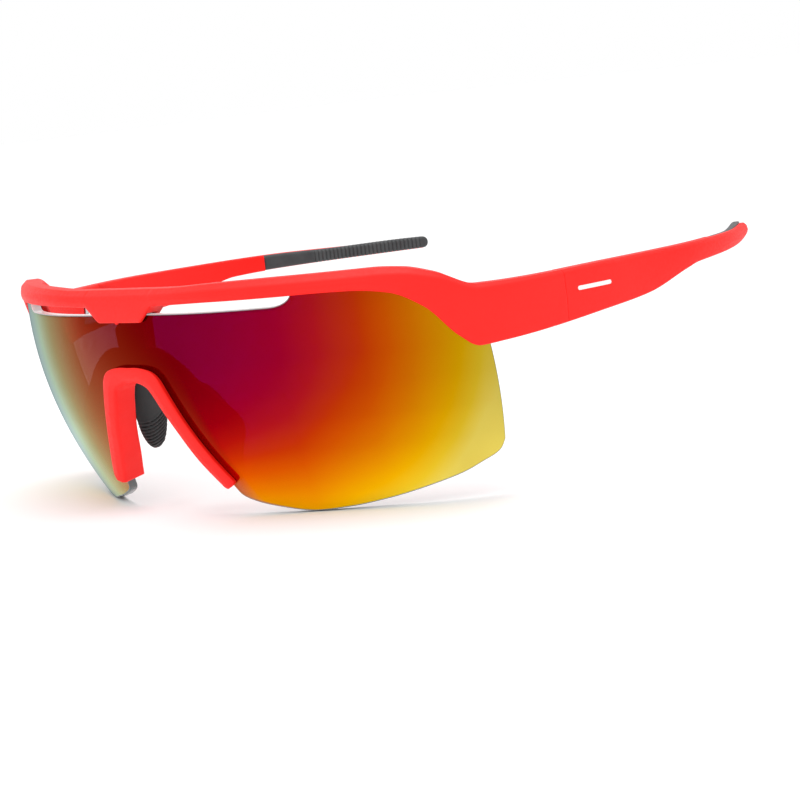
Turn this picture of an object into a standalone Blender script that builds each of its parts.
"""Wraparound sport sunglasses, modelled as the pieces they come apart into.

Frame: metres, +Z up. The front faces -Y and the temples run towards +Y, as worn. +X is the
wearer's left. The origin is on the outer face of the brow frame, on the plane of symmetry.

Everything follows one plan curve, the outer face of the frame seen from above. A place on the
glasses is given by the arc length along that curve from the centre (negative on the wearer's
right), the height, and the depth measured inwards from the outer face.
"""

import math

import bmesh
import bpy
import numpy as np
from mathutils import Vector

for old in list(bpy.data.objects):
    bpy.data.objects.remove(old, do_unlink=True)

# ---------------------------------------------------- dimensions (mm, degrees)
METRES_PER_MM = 0.001
SIDES = (("left", 1.0), ("right", -1.0))   # word used in names, sign of x
FIT = 0.3                # clearance between pieces that fit together

# Plan curve: (arc length, heading of the outer face). 0 is straight across, 90 straight back.
HEADING = (
    (0, 0.0), (13, 2.0), (26, 16.0), (39, 28.5), (50, 35.0), (60, 39.5), (69, 50.0), (80, 66.0),
    (93, 80.0), (112, 90.0), (130, 94.5), (144, 105.0), (158, 115.5), (172, 121.5), (189, 123.5),
)

# Frame and temples: (arc length, height of the edge) and (arc length, thickness)
LOWER_EDGE = (
    (10, 1.2), (25, 1.5), (45, 1.5), (53, 1.3), (60, 0.3), (66.2, -2.9), (72.2, -9.0),
    (76, -11.3), (81, -11.0), (104, -9.0), (119, -7.7), (132, -4.9), (137, -4.1), (149, -3.8),
    (189, -3.6),
)
UPPER_EDGE = (
    (0, 4.5), (13, 4.5), (26, 4.9), (40, 5.05), (57, 5.05), (63, 4.6), (69, 3.1), (77, 0.0),
    (84, -0.1), (107, 0.15), (130, 0.0), (149, -0.15), (167, -0.65), (189, -1.15),
)
THICKNESS = (
    (0, 4.5), (60, 4.5), (70, 4.9), (80, 4.6), (95, 3.8), (120, 3.4), (145, 3.3), (189, 3.0),
)
HINGE_AT = 95.0          # arc length of the seam between the frame and a temple
SEAM = 0.3               # gap at the seam
UPPER_CHAMFER = 1.2      # of the frame
LOWER_CHAMFER = 0.45

# Tab hanging from the middle of the frame
TAB_LOW = -1.9           # its lower edge
TAB_FLAT = 2.0           # half width of the flat middle of its outer face
TAB_HALF = 6.3           # half width at its lower edge
TAB_SHOULDER = 9.9       # half width at its top

# Shield lens: behind the frame's outer face, curving back towards the cheeks
LENS_DEPTH = 1.0         # of its front face
LENS_THICK = 2.0
LENS_CURVE = 0.007       # below height 0, depth grows by this times height squared
LENS_END = 78.0
LENS_TOP = (             # (arc length, height) of the upper outline
    (0, 1.8), (6.2, 1.8), (7.2, -0.4), (37.3, -0.3), (39.5, 0.05), (41.5, 1.6), (43.0, 3.0),
    (60, 3.0), (66, 2.0), (72, -0.6), (LENS_END, -2.6),
)
LENS_LOW = (             # (arc length, height) of the lower outline
    (0, -11.9), (2.8, -11.95), (5.5, -12.8), (7.3, -14.6), (8.6, -17.6), (10.9, -22.8),
    (13.9, -29.1), (17.1, -35.0), (18.3, -37.0), (21.8, -38.4), (28.2, -39.7), (38.2, -40.9),
    (45.7, -40.5), (53.0, -39.5), (61.7, -37.6), (70.0, -35.5), (74.0, -33.9), (76.3, -32.9),
    (77.5, -31.8), (LENS_END, -30.2),
)
LENS_RUNS = (            # (start, end, steps) of the columns of one half
    (0, 2.8, 1), (2.8, 6.2, 2), (6.2, 7.2, 1), (7.2, 8.6, 1), (8.6, 10.9, 1), (10.9, 13.9, 1),
    (13.9, 17.1, 2), (17.1, 18.3, 1), (18.3, 21.8, 1), (21.8, 37.3, 4), (37.3, 39.5, 1),
    (39.5, 41.5, 1), (41.5, 43.0, 1), (43, 70, 7), (70, 76.3, 3), (76.3, LENS_END, 2),
)
LEAN_MOST = 4.2          # how far the rear edge leans back at its lowest
LEAN_TOP, LEAN_BOTTOM = -9.0, -30.0   # heights where the lean starts and is full
LEAN_FROM = 40.0         # arc length where the lean fades out
LEAN_POWER = 0.9         # of the lean's growth going down
GROOVE_LOW = -16.0       # the groove's cutter stops here
GROOVE_END_POWER = 8     # gathers the groove's extra length near the lens's ends

# Nose bridge: (outer, inner) edge of its front face, each (arc length, height), from the
# top centre down a leg
BRIDGE = (
    ((0.0, -10.5), (0.0, -13.8)),
    ((3.0, -10.5), (2.4, -13.9)),
    ((6.0, -11.1), (4.6, -14.9)),
    ((7.9, -12.8), (5.9, -16.9)),
    ((9.3, -16.0), (7.1, -19.6)),
    ((12.0, -22.4), (9.0, -23.6)),
    ((15.2, -28.6), (11.9, -29.9)),
    ((19.3, -34.6), (15.9, -35.9)),
)
BRIDGE_PROUD = 0.5       # front face ahead of the frame's outer face
BRIDGE_ROUND = 0.1       # the front face falls back by this beside its crest
BRIDGE_BACK = 4.6        # how deep the inner wall reaches
BRIDGE_WALL = 1.2
# Wings behind the lens: outer edge as (arc length, height), one for each row of BRIDGE
WING = (
    (0.0, -6.9), (3.2, -7.0), (7.8, -7.2), (12.9, -10.2), (17.2, -14.2), (25.4, -21.4),
    (22.0, -28.8), (18.9, -34.8),
)
WING_DEPTH = 3.9         # its mid surface, from the lens's own curved surface
WING_THICK = 0.9
WING_ROOT = 0.6          # share of the bridge's wall at which a wing starts
WING_STEPS = 2           # along the wing, for each row of BRIDGE
WING_ACROSS = 5

# Post behind the lens, from the bridge to the tab
POST_HALF = 4.3
POST_FRONT = 4.8         # depth of its front where it is behind the tab
POST_BEHIND_LENS_TO = -3.0   # below this height its front follows the lens
POST_LENS_GAP = 0.35
POST_BACK = 6.4
SCREW_SEAT = 6.0
POST_LEVELS = (          # (height, depth of the back)
    (-13.6, POST_BACK + 1.1), (-11.2, POST_BACK + 0.35), (-9.5, POST_BACK), (-6.0, POST_BACK),
    (-3.2, POST_BACK), (-2.6, POST_BACK), (-2.0, POST_BACK), (-1.5, SCREW_SEAT),
    (3.4, SCREW_SEAT),
)

# Screw that holds the post against the tab, and its hole
SCREW_Z = 1.3
SCREW_R, SCREW_LONG = 0.65, 2.7
SCREW_MID = SCREW_SEAT - 0.75
SCREW_HEAD_R, SCREW_HEAD_LONG = 1.35, 0.6
SCREW_HEAD_MID = SCREW_SEAT + 0.55
SCREW_HOLE_R, SCREW_HOLE_LONG, SCREW_HOLE_MID = 0.95, 6.0, 5.4

# Nose pads and the lugs that carry them (left side)
PAD_CENTRE = (9.4, 13.3, -21.4)
PAD_RADII = (1.6, 4.5, 7.6)
PAD_NOSE_SHARE = 0.75    # flattening of the face towards the nose
PAD_TAPER = 0.28         # share of its width lost at the lower tip
PAD_LEAN = 17.0          # out towards the bottom
PAD_FLARE = 16.0         # out towards the back
LUG_X, LUG_Y, LUG_Z = 8.9, 9.0, -20.2
LUG_R, LUG_LONG = 0.75, 5.6
SOCKET_GAP = 0.2         # around the lug

# Temples
TEMPLE_END = 188.8       # arc length of the tip
TEMPLE_ROUND_FROM = 186.0
TIP_ROUNDING = 0.85      # 1 would bring a rounded tip to a point
FULL_CUTS = (0.7, 0.5)   # upper and lower chamfer where the temple is full thickness
THIN_CUTS = (0.45, 0.45)   # and beside the grip

# Rubber grips on the thinned inner face of the temples
GRIP_FROM, GRIP_TO = 146.0, 187.6
GRIP_STEP = 0.3          # length over which the temple thins to the grip's bed
GRIP_BED = 1.6           # thickness of the nylon beside the grip
GRIP_GAP = 0.25          # between the bed and the grip
GRIP_THICK = 1.5
GRIP_ROUND_FROM = 184.0
GRIP_CUT = 0.4
GRIP_LOW_INSET = 0.15
GRIP_RISE = 0.5          # above the nylon at the tip
GRIP_RISE_RUN = (179.0, 183.0)

# Hinges
PIVOT_DEPTH = 5.7        # of the pivot axis, from the outer face
KNUCKLE_R = 1.7
KNUCKLES = ((-8.2, -6.35), (-6.15, -4.05), (-3.85, -2.0))   # (low, high), going up
KNUCKLE_GAP_R = 0.3      # clearance in a leaf around the other leaf's knuckles
KNUCKLE_GAP_LONG = 0.4
RELIEF_GAP, RELIEF_LONG = 0.35, 30   # relief in the nylon around the knuckles
LEAF_THICK, LEAF_LONG = 0.7, 6.6
LEAF_LOW, LEAF_HIGH = -8.2, -2.0
LEAF_MID, LEAF_TALL = (LEAF_LOW + LEAF_HIGH) / 2, LEAF_HIGH - LEAF_LOW
LEAF_NEAR = KNUCKLE_R * 0.55         # distance of the plate's near end from the pivot
LEAF_GAP = 0.15          # between the nylon's inner face and the plate
POCKET_SINK = 0.15       # depth of the pocket's floor below that face
POCKET_REACH = 4.0       # size of the pocket's cutter, from its floor inwards
PIN_HOLE_R, PIN_HOLE_LONG = 0.9, 12
PIN_R, PIN_EXTRA, PIN_RAISED = 0.6, 0.6, 0.2   # length beyond the leaf's, centre above its
PIN_HEAD_R, PIN_HEAD, PIN_HEAD_GAP = 1.3, 0.7, 0.25
HINGE_HALVES = (("front", -1, (0, 2)), ("temple", 1, (1,)))   # label, direction, own knuckles

# Rivets through the leaves into the nylon
RIVETS = ((3.0, 1.35), (5.2, -1.35))   # (distance from the pivot, height above the leaf's middle)
RIVET_R, RIVET_DEEP = 0.45, 1.6
RIVET_PROUD = 0.2        # the shank's end beyond the leaf
RIVET_HEAD_R, RIVET_HEAD = 0.85, 0.35
RIVET_HEAD_OVERLAP = 0.05
RIVET_HOLE_R, RIVET_HOLE_EXTRA = 0.72, 1.0


# ---------------------------------------------------- curves
def smooth(rows, at):
    """Smooth curve through rows of (position, value) that doesn't overshoot."""
    knots, values = (np.array(column, float) for column in zip(*rows))
    gaps = np.diff(knots)
    slopes = np.diff(values) / gaps
    tangents = np.zeros(len(knots))
    tangents[0], tangents[-1] = slopes[0], slopes[-1]
    for i in range(1, len(knots) - 1):
        if slopes[i - 1] * slopes[i] > 0:
            before, after = 2 * gaps[i] + gaps[i - 1], gaps[i] + 2 * gaps[i - 1]
            tangents[i] = (before + after) / (before / slopes[i - 1] + after / slopes[i])
    at = np.clip(np.asarray(at, float), knots[0], knots[-1])
    k = np.clip(np.searchsorted(knots, at, side="right") - 1, 0, len(gaps) - 1)
    t = (at - knots[k]) / gaps[k]
    return ((2 * t**3 - 3 * t**2 + 1) * values[k]
            + (t**3 - 2 * t**2 + t) * gaps[k] * tangents[k]
            + (3 * t**2 - 2 * t**3) * values[k + 1]
            + (t**3 - t**2) * gaps[k] * tangents[k + 1])


def straight(rows, at):
    """Straight lines through rows of (position, value)."""
    return float(np.interp(at, *zip(*rows)))


def between(start, end, share):
    return tuple(a + (b - a) * share for a, b in zip(start, end))


# The plan curve, integrated from its heading
ARC_STEP = 0.1
ARC = np.arange(0.0, 200.01, ARC_STEP)
ANGLE = np.radians(smooth(HEADING, ARC))


def running_sum(rates):
    return np.concatenate([[0.0], np.cumsum((rates[1:] + rates[:-1]) * (ARC_STEP / 2))])


PLAN_X = running_sum(np.cos(ANGLE))
PLAN_Y = running_sum(np.sin(ANGLE))


def heading(arc):
    return float(np.interp(arc, ARC, ANGLE))


def place(arc, height, depth):
    """The point in mm at this arc length, height and depth."""
    distance, side = abs(arc), (-1.0 if arc < 0 else 1.0)
    angle = heading(distance)
    x = float(np.interp(distance, ARC, PLAN_X)) - math.sin(angle) * depth
    y = float(np.interp(distance, ARC, PLAN_Y)) + math.cos(angle) * depth
    return (side * x, y, height)


def lens_curve(height):
    return LENS_CURVE * min(height, 0.0) ** 2


def lens_place(arc, height, depth):
    """As place, with depth measured from the lens's own curved surface."""
    return place(arc, height, depth + lens_curve(height))


def lower_edge(arc):
    arc = abs(arc)
    if arc < TAB_SHOULDER:
        shoulder = float(smooth(LOWER_EDGE, TAB_SHOULDER))
        return straight(((TAB_HALF, TAB_LOW), (TAB_SHOULDER, shoulder)), arc)
    return float(smooth(LOWER_EDGE, arc))


def upper_edge(arc):
    return float(smooth(UPPER_EDGE, abs(arc)))


def thickness(arc):
    return float(smooth(THICKNESS, abs(arc)))


def stations(*runs):
    """Arc lengths from (start, end, steps) runs, joined without repeats."""
    out = []
    for start, end, steps in runs:
        for arc in np.linspace(start, end, steps + 1):
            if not out or arc - out[-1] > 1e-6:
                out.append(float(arc))
    return out


# ---------------------------------------------------- materials
def material(name, colour, roughness, metallic=0.0):
    made = bpy.data.materials.new(name)
    made.use_nodes = True
    shader = made.node_tree.nodes["Principled BSDF"]
    shader.inputs["Base Color"].default_value = (*colour, 1.0)
    shader.inputs["Roughness"].default_value = roughness
    shader.inputs["Metallic"].default_value = metallic
    made.diffuse_color = (*colour, 1.0)
    return made


def red_nylon(name):
    return material(name, colour=(1.0, 0.036, 0.028), roughness=0.42)


def mirror(name):
    return material(name, colour=(0.75, 0.16, 0.03), roughness=0.06, metallic=0.85)


def rubber(name):
    return material(name, colour=(0.035, 0.037, 0.04), roughness=0.62)


def steel(name):
    return material(name, colour=(0.56, 0.57, 0.58), roughness=0.3, metallic=1.0)


# ---------------------------------------------------- building helpers
PARTS = bpy.data.collections.new("wraparound_sport_sunglasses")
CUTTERS = bpy.data.collections.new("cutters")
for collection in (PARTS, CUTTERS):
    bpy.context.scene.collection.children.link(collection)


def add(name, shape, surface, parent=None, collection=PARTS):
    """Make an object of a bmesh given in mm and in world place; its origin is its parent's."""
    origin = parent.location if parent else Vector((0, 0, 0))
    bmesh.ops.scale(shape, vec=[METRES_PER_MM] * 3, verts=shape.verts)
    bmesh.ops.translate(shape, vec=-origin, verts=shape.verts)
    bmesh.ops.recalc_face_normals(shape, faces=shape.faces)
    mesh = bpy.data.meshes.new(name)
    shape.to_mesh(mesh)
    shape.free()
    obj = bpy.data.objects.new(name, mesh)
    collection.objects.link(obj)
    if surface:
        mesh.materials.append(surface)
    obj.parent = parent
    mesh.shade_smooth()
    mesh.set_sharp_from_angle(angle=math.radians(35))
    return obj


def helper(name, shape):
    """A hidden object for a boolean to cut with or to join on."""
    obj = add(name, shape, None, collection=CUTTERS)
    obj.hide_render = True
    obj.display_type = "WIRE"
    return obj


def boolean(obj, other, operation):
    mod = obj.modifiers.new(other.name, "BOOLEAN")
    mod.object = other
    mod.operation = operation
    mod.solver = "EXACT"


def cut(obj, other):
    boolean(obj, other, "DIFFERENCE")


def join(obj, other):
    boolean(obj, other, "UNION")


def thicken(obj, thick):
    """Give a sheet its thickness, half to each side."""
    wall = obj.modifiers.new("thickness", "SOLIDIFY")
    wall.thickness = thick * METRES_PER_MM
    wall.offset = 0.0
    wall.use_even_offset = False


def loft(rings):
    """A closed body through rings that each hold the same number of points."""
    shape = bmesh.new()
    grid = [[shape.verts.new(point) for point in ring] for ring in rings]
    count = len(rings[0])
    for ring, following in zip(grid, grid[1:]):
        for i in range(count):
            j = (i + 1) % count
            shape.faces.new((ring[i], ring[j], following[j], following[i]))
    shape.faces.new(list(reversed(grid[0])))
    shape.faces.new(grid[-1])
    return shape


def sheet(lines):
    """An open grid through lines that each hold the same number of points."""
    shape = bmesh.new()
    grid = [[shape.verts.new(point) for point in line] for line in lines]
    for line, following in zip(grid, grid[1:]):
        for j in range(len(line) - 1):
            shape.faces.new((line[j], following[j], following[j + 1], line[j + 1]))
    return shape


def cylinder(centre, axis, radius, length, sides):
    """A cylinder centred on a point, in mm, along an axis."""
    shape = bmesh.new()
    bmesh.ops.create_cone(shape, cap_ends=True, segments=sides, radius1=radius, radius2=radius,
                          depth=length)
    turn = Vector((0, 0, 1)).rotation_difference(Vector(axis)).to_matrix().to_4x4()
    bmesh.ops.transform(shape, matrix=turn, verts=shape.verts)
    bmesh.ops.translate(shape, vec=Vector(centre), verts=shape.verts)
    return shape


def strip_section(arc, low, high, front, back, upper_cut, lower_cut):
    """A bar's section at one arc length: a rectangle with cut corners."""
    corners = (
        (low + lower_cut, front), (high - upper_cut, front),
        (high, front + upper_cut * 1.1), (high, back - upper_cut),
        (high - upper_cut * 0.9, back), (low + lower_cut, back),
        (low, back - lower_cut), (low, front + lower_cut),
    )
    return [place(arc, z, depth) for z, depth in corners]


def rounded_tip(arc, low, high, start, end):
    """Draw the edges together from start to end, for a rounded tip."""
    if arc <= start:
        return low, high
    share = (arc - start) / (end - start)
    keep = math.sqrt(1 - TIP_ROUNDING * share * share)
    mid = (low + high) / 2
    return mid + (low - mid) * keep, mid + (high - mid) * keep


# ---------------------------------------------------- shield lens and brow frame
def lens_sheet(rows, grow=0.0, low_stop=-math.inf):
    """The lens's mid surface, trimmed to its outline; grow extends the top and the ends."""
    half = stations(*LENS_RUNS)
    lines = []
    for column in [-arc for arc in reversed(half[1:])] + half:
        distance = abs(column)
        high = straight(LENS_TOP, distance) + grow
        low = max(straight(LENS_LOW, distance), low_stop)
        rearward = (max(distance - LEAN_FROM, 0.0) / (LENS_END - LEAN_FROM)) ** 2
        end_grow = grow * (distance / LENS_END) ** GROOVE_END_POWER
        line = []
        for j in range(rows + 1):
            z = low + (high - low) * j / rows
            down = min(max((LEAN_TOP - z) / (LEAN_TOP - LEAN_BOTTOM), 0.0), 1.0)
            lean = LEAN_MOST * down**LEAN_POWER * rearward
            arc = math.copysign(distance + lean + end_grow, column)
            line.append(lens_place(arc, z, LENS_DEPTH + LENS_THICK / 2))
        lines.append(line)
    return sheet(lines)


def build_lens():
    lens = add("shield_lens", lens_sheet(rows=8), mirror("mirror_lens"))
    thicken(lens, LENS_THICK)


def build_frame():
    # no station at the centre, so that the tab's outer face is flat there
    half = stations(
        (TAB_FLAT, TAB_HALF, 1), (TAB_HALF, TAB_SHOULDER, 1), (TAB_SHOULDER, 56, 12),
        (56, 84, 14), (84, HINGE_AT, 3),
    )
    frame = add("brow_frame", loft([
        strip_section(arc, lower_edge(arc), upper_edge(arc), 0.0, thickness(arc),
                      UPPER_CHAMFER, LOWER_CHAMFER)
        for arc in [-arc for arc in reversed(half)] + half
    ]), red_nylon("red_nylon_frame"))
    # the lens sits in a groove of its own surface, thicker and taller by the fit
    groove = helper("lens_groove", lens_sheet(rows=6, grow=FIT, low_stop=GROOVE_LOW))
    thicken(groove, LENS_THICK + 2 * FIT)
    cut(frame, groove)
    return frame


# ---------------------------------------------------- nose bridge
def bridge_section(side, outer, inner):
    """The front face, rounded, with the wall running back from its inner edge."""
    wall = BRIDGE_WALL / math.dist(outer, inner)
    beside_crest = BRIDGE_ROUND - BRIDGE_PROUD
    face_back = LENS_DEPTH - FIT
    profile = (      # (share of the way from inner to outer edge, depth)
        (1.0, 0.25), (0.82, beside_crest), (0.45, -BRIDGE_PROUD), (0.1, beside_crest),
        (0.0, 0.3), (0.0, BRIDGE_BACK), (wall, BRIDGE_BACK), (wall, face_back),
        (1.0, face_back),
    )
    ring = []
    for share, depth in profile:
        arc, z = between(inner, outer, share)
        ring.append(lens_place(side * arc, z, depth))
    return ring


def at_row(points, row, curve):
    """The (arc length, height) at a fractional row of a list of such points."""
    return tuple(float(curve(list(enumerate(column)), row)) for column in zip(*points))


def wing_sheet():
    """A sheet behind the lens, from the bridge's inner wall out to the wings' edge."""
    last = len(BRIDGE) - 1
    lines = []
    for row in np.linspace(-last, last, 2 * WING_STEPS * last + 1):
        distance, side = abs(float(row)), (-1.0 if row < 0 else 1.0)
        edge = at_row(WING, distance, smooth)
        outer, inner = (at_row(points, distance, straight) for points in zip(*BRIDGE))
        root = between(inner, outer, WING_ROOT * BRIDGE_WALL / math.dist(outer, inner))
        line = []
        for share in np.linspace(0, 1, WING_ACROSS + 1):
            arc, z = between(root, edge, share)
            line.append(lens_place(side * arc, z, WING_DEPTH))
        lines.append(line)
    return sheet(lines)


def post_ring(z, back):
    front = POST_FRONT
    if z < POST_BEHIND_LENS_TO:
        front = LENS_DEPTH + LENS_THICK + POST_LENS_GAP + lens_curve(z)
    corners = ((-POST_HALF, front), (POST_HALF, front), (POST_HALF, back), (-POST_HALF, back))
    return [place(arc, z, depth) for arc, depth in corners]


def lug_cylinder(side, gap=0.0, end_gap=0.0):
    return cylinder((side * LUG_X, LUG_Y, LUG_Z), (0, 1, 0), LUG_R + gap,
                    LUG_LONG + 2 * end_gap, sides=12)


def build_bridge():
    sections = [(-1, row) for row in reversed(BRIDGE[1:])] + [(1, row) for row in BRIDGE]
    bridge = add("nose_bridge", loft([bridge_section(side, *row) for side, row in sections]),
                 red_nylon("red_nylon_bridge"))
    wings = helper("bridge_wings", wing_sheet())
    thicken(wings, WING_THICK)
    join(bridge, wings)
    join(bridge, helper("bridge_post", loft([post_ring(*level) for level in POST_LEVELS])))
    for word, side in SIDES:
        join(bridge, helper(f"pad_lug_{word}", lug_cylinder(side)))
    return bridge


def screw_cylinder(depth, radius, length):
    return cylinder((0, depth, SCREW_Z), (0, 1, 0), radius, length, sides=16)


def build_bridge_screw(bridge, frame):
    screw = add("bridge_screw", screw_cylinder(SCREW_MID, SCREW_R, SCREW_LONG),
                steel("bridge_screw_steel"))
    join(screw, helper("bridge_screw_head",
                       screw_cylinder(SCREW_HEAD_MID, SCREW_HEAD_R, SCREW_HEAD_LONG)))
    hole = helper("bridge_screw_hole",
                  screw_cylinder(SCREW_HOLE_MID, SCREW_HOLE_R, SCREW_HOLE_LONG))
    cut(bridge, hole)
    cut(frame, hole)


# ---------------------------------------------------- nose pads
def build_pad(word, side):
    """A leaf: full at the top, drawn in towards its lower tip, flatter towards the nose."""
    shape = bmesh.new()
    bmesh.ops.create_uvsphere(shape, u_segments=20, v_segments=12, radius=1.0)
    lean, flare = math.radians(PAD_LEAN) * side, math.radians(PAD_FLARE) * side
    centre_x, centre_y, centre_z = PAD_CENTRE
    for vert in shape.verts:
        x, y, z = vert.co
        y *= PAD_RADII[1] * (1.0 - PAD_TAPER * max(-z, 0.0))
        x *= PAD_RADII[0] * (PAD_NOSE_SHARE if x * side < 0 else 1.0)
        z *= PAD_RADII[2]
        x, z = (x * math.cos(lean) - z * math.sin(lean),
                z * math.cos(lean) + x * math.sin(lean))
        x, y = (x * math.cos(flare) + y * math.sin(flare),
                y * math.cos(flare) - x * math.sin(flare))
        z += centre_z
        y += centre_y + LENS_CURVE * (z * z - centre_z**2)   # follows the lens back
        vert.co = Vector((x + side * centre_x, y, z))
    pad = add(f"nose_pad_{word}", shape, rubber(f"pad_rubber_{word}"))
    cut(pad, helper(f"pad_socket_{word}", lug_cylinder(side, SOCKET_GAP, FIT)))


# ---------------------------------------------------- temples and grips
def build_temple(word, side, axis):
    """A strip of nylon, thinned on its inner face beside the grip."""
    rings = []
    for arc in stations((HINGE_AT + SEAM, 120, 6), (120, 140, 8), (140, GRIP_FROM - GRIP_STEP, 2),
                        (GRIP_FROM - GRIP_STEP, GRIP_FROM, 1),
                        (GRIP_FROM, TEMPLE_ROUND_FROM, 12), (TEMPLE_ROUND_FROM, TEMPLE_END, 4)):
        low, high = rounded_tip(arc, lower_edge(arc), upper_edge(arc),
                                TEMPLE_ROUND_FROM, TEMPLE_END)
        back, cuts = (thickness(arc), FULL_CUTS) if arc < GRIP_FROM else (GRIP_BED, THIN_CUTS)
        rings.append(strip_section(side * arc, low, high, 0.0, back, *cuts))
    return add(f"temple_{word}", loft(rings), red_nylon(f"red_nylon_temple_{word}"), axis)


def build_grip(word, side, axis):
    """A rubber strip on the temple's inner face, a little taller than the nylon at the tip."""
    front = GRIP_BED + GRIP_GAP
    rings = []
    for arc in stations((GRIP_FROM + FIT, 150, 1), (150, GRIP_ROUND_FROM, 9),
                        (GRIP_ROUND_FROM, GRIP_TO, 4)):
        rise = float(np.interp(arc, GRIP_RISE_RUN, (0.0, GRIP_RISE)))
        low, high = rounded_tip(arc, lower_edge(arc) + GRIP_LOW_INSET, upper_edge(arc) + rise,
                                GRIP_ROUND_FROM, GRIP_TO)
        rings.append(strip_section(side * arc, low, high, front, front + GRIP_THICK,
                                   GRIP_CUT, GRIP_CUT))
    add(f"temple_grip_{word}", loft(rings), rubber(f"grip_rubber_{word}"), axis)


# ---------------------------------------------------- hinges
NYLON_FACE = thickness(HINGE_AT) - PIVOT_DEPTH   # the nylon's inner face, from the pivot inwards


class Hinge:
    """The pivot of one side, with directions towards the temple's tip and inwards."""

    def __init__(self, word, side):
        self.word = word
        pivot_arc = HINGE_AT + SEAM / 2
        x, y, _ = place(pivot_arc, 0, PIVOT_DEPTH)
        angle = heading(pivot_arc)
        self.pivot = Vector((side * x, y, 0))
        self.along = Vector((side * math.cos(angle), math.sin(angle), 0))
        self.inward = Vector((-side * math.sin(angle), math.cos(angle), 0))

    def point(self, along, inward, z):
        return self.pivot + self.along * along + self.inward * inward + Vector((0, 0, z))

    def box(self, size, along, inward):
        """A box at the leaf's mid height, centred on these distances from the pivot."""
        shape = bmesh.new()
        bmesh.ops.create_cube(shape, size=1.0)
        bmesh.ops.scale(shape, vec=size, verts=shape.verts)
        for vert in shape.verts:
            x, y, z = vert.co
            vert.co = self.point(x + along, y + inward, z + LEAF_MID)
        return shape

    def upright(self, z, radius, length, sides):
        """A cylinder on the pivot axis."""
        return cylinder(self.point(0, 0, z), (0, 0, 1), radius, length, sides)


def build_leaf(hinge, label, direction, own_knuckles, body, parent):
    """A plate on the nylon's inner face, with knuckles around the pivot."""
    word = hinge.word
    plate_long = LEAF_LONG - LEAF_NEAR
    leaf = add(f"hinge_{label}_leaf_{word}",
               hinge.box((plate_long, LEAF_THICK, LEAF_TALL),
                         direction * (LEAF_NEAR + plate_long / 2),
                         NYLON_FACE + LEAF_GAP + LEAF_THICK / 2),
               steel(f"{label}_leaf_steel_{word}"), parent)
    # pocket for the plate in the nylon, open to the inside
    cut(body, helper(f"{label}_leaf_pocket_{word}", hinge.box(
        (LEAF_LONG + 2 * FIT, POCKET_REACH, LEAF_TALL + 2 * FIT),
        direction * LEAF_LONG / 2, NYLON_FACE - POCKET_SINK + POCKET_REACH / 2)))
    cut(body, helper(f"{label}_knuckle_relief_{word}", hinge.upright(
        LEAF_MID, KNUCKLE_R + RELIEF_GAP, RELIEF_LONG, sides=24)))
    for i, (low, high) in enumerate(KNUCKLES):
        mid, length = (low + high) / 2, high - low
        if i in own_knuckles:
            join(leaf, helper(f"{label}_knuckle_{word}_{i}",
                              hinge.upright(mid, KNUCKLE_R, length, sides=20)))
        else:
            cut(leaf, helper(f"{label}_clearance_{word}_{i}", hinge.upright(
                mid, KNUCKLE_R + KNUCKLE_GAP_R, length + KNUCKLE_GAP_LONG, sides=20)))
    return leaf


def build_rivets(hinge, label, direction, body, leaf, parent):
    shank_long = RIVET_DEEP + LEAF_THICK + RIVET_PROUD
    shank_end = NYLON_FACE + LEAF_GAP + LEAF_THICK + RIVET_PROUD
    shank_mid = shank_end - shank_long / 2
    head_mid = shank_end + RIVET_HEAD / 2 - RIVET_HEAD_OVERLAP
    hole_long = RIVET_DEEP + LEAF_THICK + RIVET_HOLE_EXTRA
    for number, (reach, rise) in enumerate(RIVETS, start=1):
        tag = f"{label}_{hinge.word}_{number}"

        def rod(inward, radius, length):
            centre = hinge.point(direction * reach, inward, LEAF_MID + rise)
            return cylinder(centre, hinge.inward, radius, length, sides=12)

        rivet = add(f"rivet_{tag}", rod(shank_mid, RIVET_R, shank_long),
                    steel(f"rivet_steel_{tag}"), parent)
        join(rivet, helper(f"rivet_head_{tag}", rod(head_mid, RIVET_HEAD_R, RIVET_HEAD)))
        hole = helper(f"rivet_hole_{tag}", rod(shank_mid, RIVET_HOLE_R, hole_long))
        cut(body, hole)
        cut(leaf, hole)


def build_hinge_screw(hinge):
    """The hinge's pin, in from above."""
    pin = add(f"hinge_screw_{hinge.word}",
              hinge.upright(LEAF_MID + PIN_RAISED, PIN_R, LEAF_TALL + PIN_EXTRA, sides=16),
              steel(f"hinge_screw_steel_{hinge.word}"))
    join(pin, helper(f"hinge_screw_head_{hinge.word}", hinge.upright(
        LEAF_HIGH + PIN_HEAD_GAP + PIN_HEAD / 2, PIN_HEAD_R, PIN_HEAD, sides=16)))


def build_side(word, side, frame):
    """One temple with its grip and hinge; what folds hangs on an empty at the pivot."""
    hinge = Hinge(word, side)
    axis = bpy.data.objects.new(f"temple_{word}_axis", None)
    axis.location = hinge.pivot * METRES_PER_MM
    axis.empty_display_size = 0.01
    PARTS.objects.link(axis)

    temple = build_temple(word, side, axis)
    build_grip(word, side, axis)
    pin_hole = helper(f"pin_hole_{word}",
                      hinge.upright(LEAF_MID, PIN_HOLE_R, PIN_HOLE_LONG, sides=16))
    for label, direction, own_knuckles in HINGE_HALVES:
        body, parent = (frame, None) if label == "front" else (temple, axis)
        leaf = build_leaf(hinge, label, direction, own_knuckles, body, parent)
        cut(leaf, pin_hole)
        build_rivets(hinge, label, direction, body, leaf, parent)
    build_hinge_screw(hinge)


# ---------------------------------------------------- the glasses
build_lens()
brow_frame = build_frame()
nose_bridge = build_bridge()
build_bridge_screw(nose_bridge, brow_frame)
for side_word, side_sign in SIDES:
    build_pad(side_word, side_sign)
for side_word, side_sign in SIDES:
    build_side(side_word, side_sign, brow_frame)
